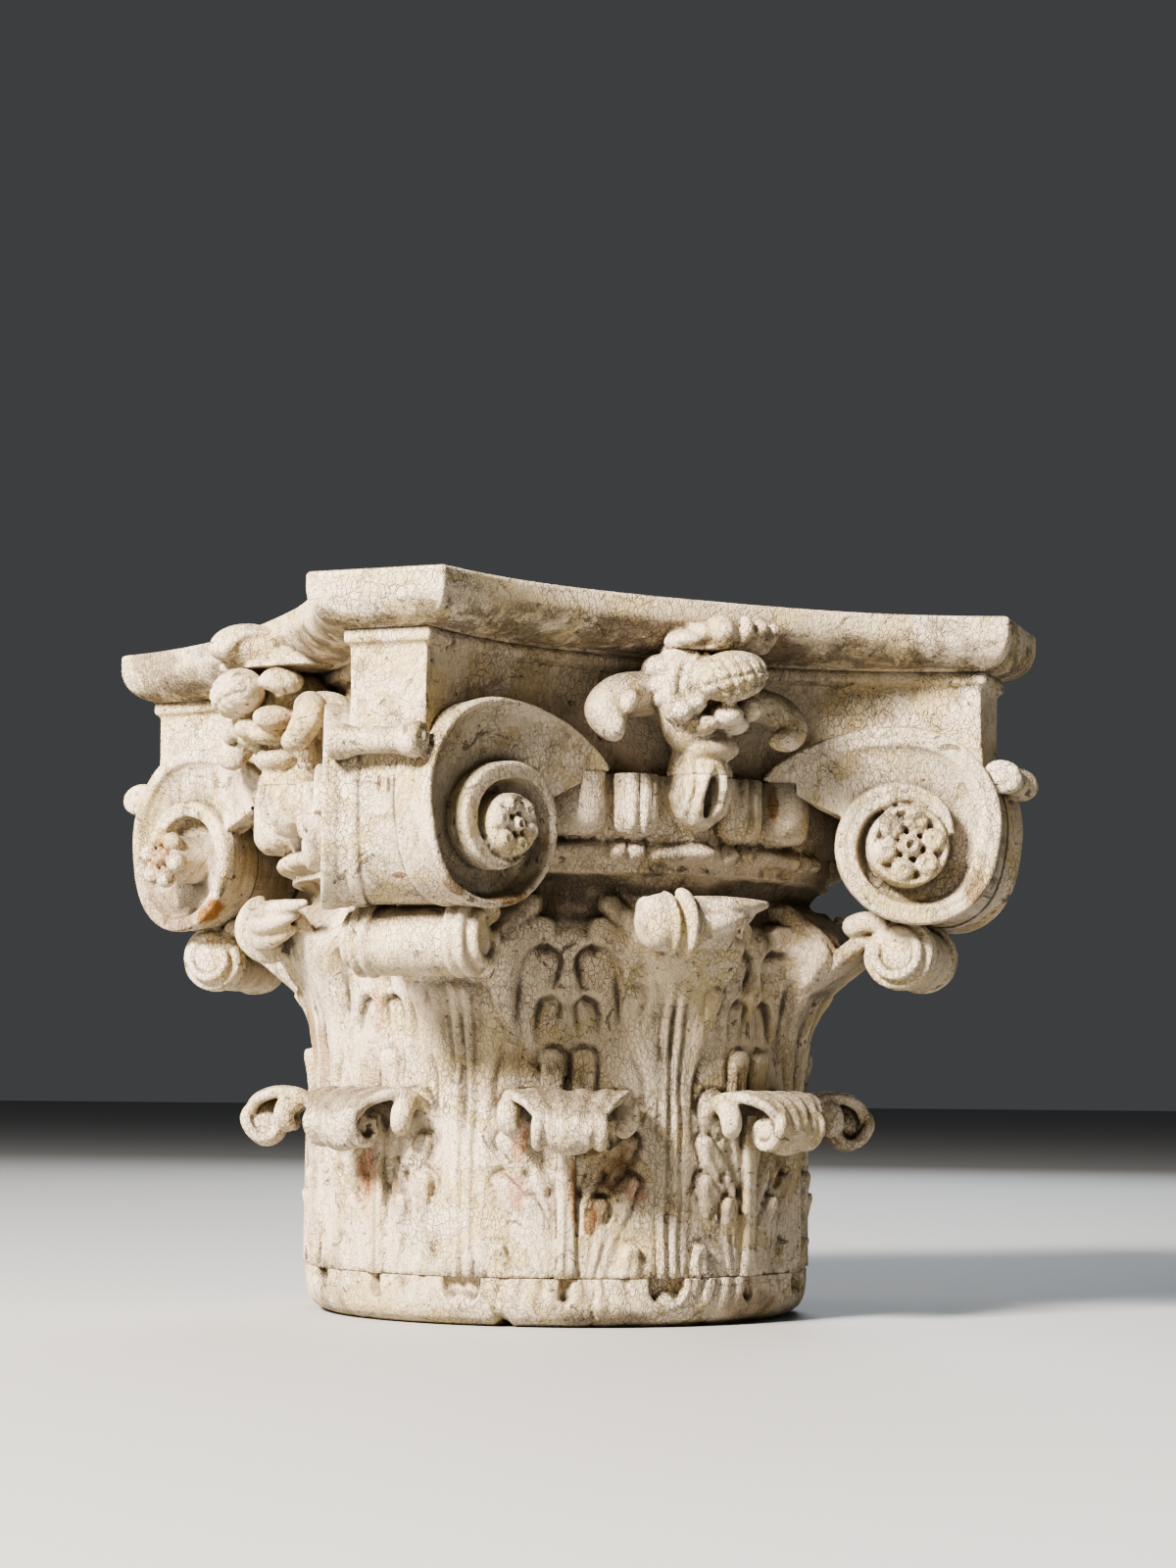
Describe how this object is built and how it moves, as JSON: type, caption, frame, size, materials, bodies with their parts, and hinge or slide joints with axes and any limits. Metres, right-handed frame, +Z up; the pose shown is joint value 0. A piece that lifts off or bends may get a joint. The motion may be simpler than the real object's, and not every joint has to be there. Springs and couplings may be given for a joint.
{
  "type": "composite capital",
  "caption": "Carved and painted wooden column capital: two tiers of leaves, a row of eggs, a spiral volute on each horn and a concave-sided abacus with a flower on each side.",
  "frame": {"origin": "centre of the round underside", "axes": "+Z up along the column's axis; the four concave sides of the abacus look along +X, -X, +Y and -Y, and the four horns lie on the diagonals between them"},
  "size_m": [0.3684, 0.3684, 0.3229],
  "materials": {
    "foot_board": "worn ivory paint over wood, chipped and stained along the lower edge",
    "bell": "crackled ivory paint over gesso and wood, grey-brown grime in the recesses and on the leaf curls",
    "abacus_block": "crackled ivory paint over wood, drying cracks and dark seams",
    "abacus_board": "worn ivory paint over wood, rubbed through along the edges",
    "volutes": "worn ivory paint with ochre wood showing where it has flaked"
  },
  "bodies": {
    "root": {"foot_board": "foot_board", "bell": "bell", "abacus_block": "abacus_block", "abacus_board": "abacus_board", "volute_front_right": "volutes", "volute_back_right": "volutes", "volute_back_left": "volutes", "volute_front_left": "volutes"}
  },
  "joints": []
}
